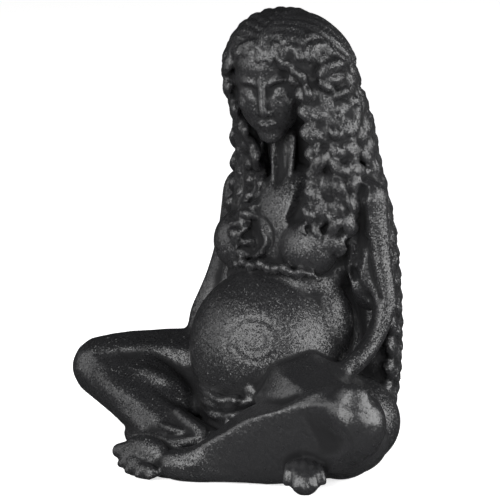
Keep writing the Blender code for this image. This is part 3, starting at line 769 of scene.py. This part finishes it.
hem = {
    "knots": [(-11.4, -6.4, 33.6), (-7, -11.0, 35.2), (0, -12.7, 36.0), (6, -12.5, 36.0),
              (10.4, -10.9, 35.6), (12.4, -8.4, 34.6)],
    "girth": 0.4,
    "swell": 0.5,  # in its middle
    "twist": 0.24,
    "turn": 2.1,  # length of one twist
    "uneven": (1.6, 0.7),  # how far and how fast the twists run ahead and lag
    "waver": (0.25, 1.3),  # the same for its rise and fall
}


def hemRope():
    # the rolled ends of the hair, a twisted ridge across under the breasts
    run = smoothRun(hem["knots"], steps=30)
    ahead, rate = hem["uneven"]
    rise, beat = hem["waver"]
    length = 0.0
    rope = []
    for i, p in enumerate(run):
        if i:
            length += (Vector(p) - Vector(run[i - 1])).length
        swell = math.sin(math.pi * i / (len(run) - 1))
        twist = math.sin(2 * math.pi * length / hem["turn"] + ahead * math.sin(rate * length))
        girth = hem["girth"] + hem["swell"] * swell + hem["twist"] * twist
        rope.append((p[0], p[1], p[2] + rise * math.sin(beat * length), girth))
    return addLimbs("hem", [rope])


hairPieces = [
    addLimbs("locks", allLocks(), 1), addLimbs("curls", allCurls() + [partingRidge()]),
    hairBody(), hemRope(),
]
print("hair laid on")


# one skin over everything, then the last carving

finish = {
    "triangles": 192000,
    "stand": (0.80, 10.56, 0),  # moves her to the middle of her box
    # rubs of the form that hollows are measured from, share of each, and depth of a full hollow
    "hollows": {"rubs": 24, "share": 0.6, "depth": 0.32},
}

goddess = joinPieces("goddess", [body] + hairPieces)
oneSkin(goddess, *skins["whole"])
print("one skin,", len(goddess.data.polygons), "faces")


spiral = {
    "at": (7.0, -19.5, 24.0),
    "turns": 2.6,
    "radius": 6.0,
    "inner": 0.12,  # share of the radius where it starts
    "height": 0.8,  # share of its width
    "points": 220,
    "reach": 0.9,
    "depth": 0.13,
}


def spiralCuts():
    # a plain traditional spiral in shallow relief on the belly
    belly = Vector(flesh["masses"][0][0])
    size = flesh["masses"][0][1][0]
    out = (Vector(spiral["at"]) - belly).normalized()
    aside = Vector((0, 0, 1)).cross(out).normalized()
    up = out.cross(aside)
    points = []
    inward = []
    for i in range(spiral["points"]):
        t = i / (spiral["points"] - 1)
        angle = 2 * math.pi * spiral["turns"] * t
        far = spiral["radius"] * (spiral["inner"] + (1 - spiral["inner"]) * t)
        way = (out * size + aside * far * math.cos(angle)
               + up * far * spiral["height"] * math.sin(angle)).normalized()
        points.append(belly + way * size)
        inward.append(-way)
    return points, inward, spiral["reach"], spiral["depth"]


hollowLines = [  # points, way in, reach and depth
    ([(5.5, -5.0, 58), (6.0, -5.6, 54), (6.2, -6.4, 50), (6.4, -7.6, 47), (6.2, -9.0, 44.5)],
     (-0.5, 0.85, 0), 1.9, 1.5),  # between neck and hair on her left
    ([(-1.2, -10.6, 44.7), (1.4, -10.7, 43.0), (2.4, -10.8, 41.4), (2.3, -11.0, 39.7),
      (1.6, -11.4, 38.0)], (-0.3, 0.95, 0), 0.9, 0.5),  # round the lock on her right breast
    ([(-4.2, -6.6, 58), (-4.2, -6.8, 54), (-4.0, -7.2, 51), (-3.6, -8.0, 48.8)],
     (-0.4, 0.92, 0), 1.5, 1.2),  # between neck and hair on her right
    ([(0.6, -7.0, 60), (0.6, -7.2, 56), (0.6, -7.3, 52.5), (0.9, -7.4, 50)],
     (-0.4, 0.9, 0), 1.5, 1.0),  # between the cords of her neck
    ([(16.1, -2.2, 50.1), (16.0, -2.3, 46), (15.8, -2.2, 42), (15.6, -2.6, 38.5),
      (14.6, -2.7, 35.0)], (-0.6, 0.8, 0), 1.6, 1.5),  # between locks and left arm
    ([(16.6, -1.6, 41), (17.0, -1.5, 38), (17.8, -1.2, 35), (19.2, -0.9, 31.2)],
     (-0.6, 0.8, 0), 1.1, 0.6),  # inside that arm
    ([(14.6, -2.7, 35.0), (15.5, -2.4, 32.9), (16.4, -0.9, 30.7)],
     (-0.3, 0.9, 0), 1.4, 0.8),  # under her flank
]


def lineCuts(points, way, reach, depth):
    run = [Vector(p) for p in smoothRun(points, steps=12)]
    return run, [Vector(way).normalized()] * len(run), reach, depth


cutGrooves(goddess, [spiralCuts()] + [lineCuts(*line) for line in hollowLines])

applyTool(goddess, "DECIMATE", ratio=finish["triangles"] / (2 * len(goddess.data.polygons)),
          use_collapse_triangulate=True)
pick(goddess)
bpy.ops.object.mode_set(mode="EDIT")
bpy.ops.mesh.select_all(action="SELECT")
bpy.ops.mesh.bisect(plane_co=(0, 0, 0), plane_no=(0, 0, 1), clear_inner=True, use_fill=True,
                    threshold=1e-7)
bpy.ops.mesh.select_all(action="SELECT")
bpy.ops.mesh.quads_convert_to_tris()
bpy.ops.mesh.normals_make_consistent(inside=False)
bpy.ops.object.mode_set(mode="OBJECT")
goddess.data.transform(Matrix.Translation(Vector(finish["stand"]) * mm))
for vertex in goddess.data.vertices:
    vertex.co = [min(max(c, low), high) for c, low, high in zip(vertex.co, *cadBox)]
bpy.ops.object.shade_smooth()


def markHollows(piece, rubs, share, depth):
    # writes how far each point lies under the rubbed-down form, 0.5 where it lies on it
    mesh = piece.data
    skin = readSkin(piece).astype(float)
    facing = np.empty(3 * len(mesh.vertices), dtype=np.float32)
    mesh.vertices.foreach_get("normal", facing)
    links = np.empty(2 * len(mesh.edges), dtype=np.int32)
    mesh.edges.foreach_get("vertices", links)
    one, two = links.reshape(-1, 2).T
    count = np.bincount(one, minlength=len(skin)) + np.bincount(two, minlength=len(skin))
    rubbed = skin.copy()
    for _ in range(rubs):
        for axis in range(3):
            values = rubbed[:, axis]
            near = np.bincount(one, values[two], len(skin)) + np.bincount(two, values[one], len(skin))
            rubbed[:, axis] = (1 - share) * values + share * near / np.maximum(count, 1)
    under = ((rubbed - skin) * facing.reshape(-1, 3)).sum(axis=1) / (depth * mm)
    marks = mesh.attributes.new("hollow", "FLOAT", "POINT")
    marks.data.foreach_set("value", np.clip(0.5 + 0.5 * under, 0, 1).astype(np.float32))


markHollows(goddess, **finish["hollows"])
print("carving finished,", len(goddess.data.polygons), "triangles")


# black volcanic glass

class Sock:
    # wraps a node's socket, so that shader maths reads as plain expressions
    def __init__(self, tree, socket):
        self.tree = tree
        self.socket = socket

    def maths(self, operation, other, swapped=False):
        pair = (other, self) if swapped else (self, other)
        return self.node("ShaderNodeMath", {"operation": operation}, {0: pair[0], 1: pair[1]})

    def __add__(self, other):
        return self.maths("ADD", other)

    def __sub__(self, other):
        return self.maths("SUBTRACT", other)

    def __rsub__(self, other):
        return self.maths("SUBTRACT", other, True)

    def __mul__(self, other):
        return self.maths("MULTIPLY", other)

    __radd__ = __add__
    __rmul__ = __mul__

    def node(self, kind, settings, inputs, output=0):
        return addNode(self.tree, kind, settings, inputs, output)


def addNode(tree, kind, settings, inputs, output=0):
    node = tree.nodes.new(kind)
    for setting, value in settings.items():
        setattr(node, setting, value)
    for name, value in inputs.items():
        if isinstance(value, Sock):
            tree.links.new(value.socket, node.inputs[name])
        else:
            node.inputs[name].default_value = value
    return Sock(tree, node.outputs[output])


stoneLook = {
    "colour": (0.008, 0.008, 0.0085, 1),
    "smoke": (0.016, 0.016, 0.017, 1),
    "clouds": 60.0,  # of smoke, to the metre
    "roughness": 0.30,
    "wear": 0.16,  # how much the roughness changes from patch to patch
    "patches": 900.0,  # to the metre
    "unpolished": 0.3,  # rougher by this in the hollows
    "deepFrom": 0.45,  # where on the scale of hollows the polish begins to end and painted shade begins
    "deepTo": 0.78,  # and where none is left and the painted shade is full
    "rawAndShade": 0.95,  # share of raw unpolished stone in the deepest of them, its dimmed shine a painted shade
    "rawRoughness": 0.8,
    # the raw stone's shine is turned far down, which paints the hollows darker as shade
    "paintedShadeShine": 0.1,
    "grain": 6200.0,  # glittering flakes to the metre
    "glitter": 0.26,  # how far a flake tips out of the surface
    "flash": 1.7,  # and how much farther the steepest ones do
    "smoothAt": (0.0225, -0.0095, 0.008),  # her left leg is rubbed smoother
    "smoothReach": (0.024, 0.019, 0.0145),
    "smoothEdge": (0.7, 1.1),  # shares of that reach between which the glitter comes back
    "leastGlitter": 0.4,  # share of the glitter that stays there
    "tooling": 0.00022,  # depth of the uneven carving marks
    "marks": 420.0,  # to the metre
}


def obsidian():
    look = bpy.data.materials.new("obsidian")
    look.use_nodes = True
    tree = look.node_tree
    shader = tree.nodes["Principled BSDF"]
    place = addNode(tree, "ShaderNodeTexCoord", {}, {}, "Object")
    smoke = addNode(tree, "ShaderNodeTexNoise", {},
                    {"Vector": place, "Scale": stoneLook["clouds"], "Detail": 4.0}, "Fac")
    colour = addNode(tree, "ShaderNodeMix", {"data_type": "RGBA"},
                     {0: smoke, 6: stoneLook["colour"], 7: stoneLook["smoke"]}, 2)
    wear = addNode(tree, "ShaderNodeTexNoise", {},
                   {"Vector": place, "Scale": stoneLook["patches"], "Detail": 3.0}, "Fac")
    hollow = addNode(tree, "ShaderNodeAttribute", {"attribute_name": "hollow"}, {}, "Fac")
    # the hollow marks make the stone rougher there and, through the dim raw stone below, paint shade
    # into the hollows
    dullAndShade = addNode(tree, "ShaderNodeMapRange", {"interpolation_type": "SMOOTHSTEP"},
                   {"Value": hollow, "From Min": stoneLook["deepFrom"],
                    "From Max": stoneLook["deepTo"], "To Min": 0.0, "To Max": 1.0})
    roughness = stoneLook["roughness"] + (wear - 0.5) * stoneLook["wear"]
    roughness = roughness + dullAndShade * stoneLook["unpolished"]
    flakes = addNode(tree, "ShaderNodeTexVoronoi", {"feature": "F1"},
                     {"Vector": place, "Scale": stoneLook["grain"]}, "Color")
    tip = addNode(tree, "ShaderNodeVectorMath", {"operation": "SUBTRACT"},
                  {0: flakes, 1: (0.5, 0.5, 0.5)})
    steep = addNode(tree, "ShaderNodeVectorMath", {"operation": "LENGTH"}, {0: tip}, "Value")
    steep = steep * steep * steep
    fromLeg = addNode(tree, "ShaderNodeVectorMath", {"operation": "SUBTRACT"},
                      {0: place, 1: stoneLook["smoothAt"]})
    fromLeg = addNode(tree, "ShaderNodeVectorMath", {"operation": "DIVIDE"},
                      {0: fromLeg, 1: stoneLook["smoothReach"]})
    far = addNode(tree, "ShaderNodeVectorMath", {"operation": "LENGTH"}, {0: fromLeg}, "Value")
    inner, outer = stoneLook["smoothEdge"]
    sparkle = addNode(tree, "ShaderNodeMapRange", {"interpolation_type": "SMOOTHSTEP"},
                      {"Value": far, "From Min": inner, "From Max": outer,
                       "To Min": stoneLook["leastGlitter"], "To Max": 1.0})
    glitter = (steep * stoneLook["flash"] + stoneLook["glitter"]) * sparkle
    tipped = addNode(tree, "ShaderNodeVectorMath", {"operation": "SCALE"}, {0: tip, "Scale": glitter})
    chisel = addNode(tree, "ShaderNodeTexNoise", {},
                     {"Vector": place, "Scale": stoneLook["marks"], "Detail": 4.0,
                      "Roughness": 0.6}, "Fac")
    worked = addNode(tree, "ShaderNodeBump", {},
                     {"Height": chisel, "Strength": 1.0, "Distance": stoneLook["tooling"]})
    facing = addNode(tree, "ShaderNodeVectorMath", {"operation": "ADD"}, {0: worked, 1: tipped})
    normal = addNode(tree, "ShaderNodeVectorMath", {"operation": "NORMALIZE"}, {0: facing})
    tree.links.new(colour.socket, shader.inputs["Base Color"])
    tree.links.new(roughness.socket, shader.inputs["Roughness"])
    tree.links.new(normal.socket, shader.inputs["Normal"])
    # raw stone: rough, and with its shine turned far down as painted shade in the hollows
    rawAndShade = addNode(tree, "ShaderNodeBsdfPrincipled", {},
                  {"Base Color": stoneLook["colour"], "Roughness": stoneLook["rawRoughness"],
                   "Specular IOR Level": stoneLook["paintedShadeShine"]})
    polished = Sock(tree, shader.outputs["BSDF"])
    blend = addNode(tree, "ShaderNodeMixShader", {},
                    {0: dullAndShade * stoneLook["rawAndShade"], 1: polished, 2: rawAndShade})
    tree.links.new(blend.socket, tree.nodes["Material Output"].inputs["Surface"])
    return look


goddess.data.materials.clear()
goddess.data.materials.append(obsidian())
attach(goddess, "root")
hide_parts("goddess_figurine")
print("stone finished")


# studio: a pale lit table, three soft boxes and a room that darkens towards its ceiling

studio = {
    "table": (0.9, 0.9, 0.9, 1),
    "tableGlow": 0.7,
    "tableRadius": 2.5,
    "horizon": 0.38,  # strength of the room's light there, and overhead
    "ceiling": 0.06,
    "fade": (0.05, 0.75),  # heights between which it darkens
    "lamps": [  # azimuth and elevation round the figurine, width, height, watts
        (14, 22, 0.56, 0.52, 6.1),
        (-44, 16, 0.50, 0.44, 1.3),
        (117, 17, 0.90, 0.42, 7.9),
    ],
    "away": 0.6,
    "aim": (0, 0, 0.04),
}
view = {
    "azimuth": 45,
    "elevation": 10,
    "away": 1.6,
    "width": 0.08785,  # of what the picture shows
    "at": (-0.00074, -0.00159, 0.0384),
    "sensor": 36,
}


bpy.ops.object.select_all(action="DESELECT")
bpy.ops.mesh.primitive_circle_add(
    vertices=96, radius=studio["tableRadius"], fill_type="NGON", location=(0, 0, 0))
table = bpy.context.object
table.name = "table"
paper = bpy.data.materials.new("lit paper")
paper.use_nodes = True
sheet = paper.node_tree.nodes["Principled BSDF"]
sheet.inputs["Base Color"].default_value = studio["table"]
sheet.inputs["Roughness"].default_value = 0.9
sheet.inputs["Emission Color"].default_value = (1, 1, 1, 1)
sheet.inputs["Emission Strength"].default_value = studio["tableGlow"]
table.data.materials.append(paper)
table.visible_glossy = False  # the stone mirrors the room, not the lit paper

for azimuth, elevation, width, height, watts in studio["lamps"]:
    out = Vector(wayTo(azimuth, elevation))
    bpy.ops.object.light_add(type="AREA", location=out * studio["away"] + Vector(studio["aim"]))
    lamp = bpy.context.object
    lamp.data.shape = "RECTANGLE"
    lamp.data.size = width
    lamp.data.size_y = height
    lamp.data.energy = watts
    lamp.rotation_euler = (-out).to_track_quat("-Z", "Y").to_euler()

room = bpy.data.worlds.new("room")
room.use_nodes = True
tree = room.node_tree
ways = addNode(tree, "ShaderNodeTexCoord", {}, {}, "Generated")
up = addNode(tree, "ShaderNodeSeparateXYZ", {}, {0: ways}, "Z")
darker = addNode(tree, "ShaderNodeMapRange", {"interpolation_type": "SMOOTHSTEP"},
                 {"Value": up, "From Min": studio["fade"][0], "From Max": studio["fade"][1],
                  "To Min": studio["horizon"], "To Max": studio["ceiling"]})
tree.links.new(darker.socket, tree.nodes["Background"].inputs["Strength"])
bpy.context.scene.world = room
bpy.context.scene.view_settings.view_transform = "Standard"

towards = Vector(wayTo(view["azimuth"], view["elevation"]))
bpy.ops.object.camera_add(location=Vector(view["at"]) + towards * view["away"])
camera = bpy.context.object
camera.rotation_euler = (-towards).to_track_quat("-Z", "Y").to_euler()
camera.data.sensor_width = view["sensor"]
camera.data.lens = view["sensor"] * view["away"] / view["width"]
camera.data.clip_end = 20
bpy.context.scene.camera = camera
print("studio set")
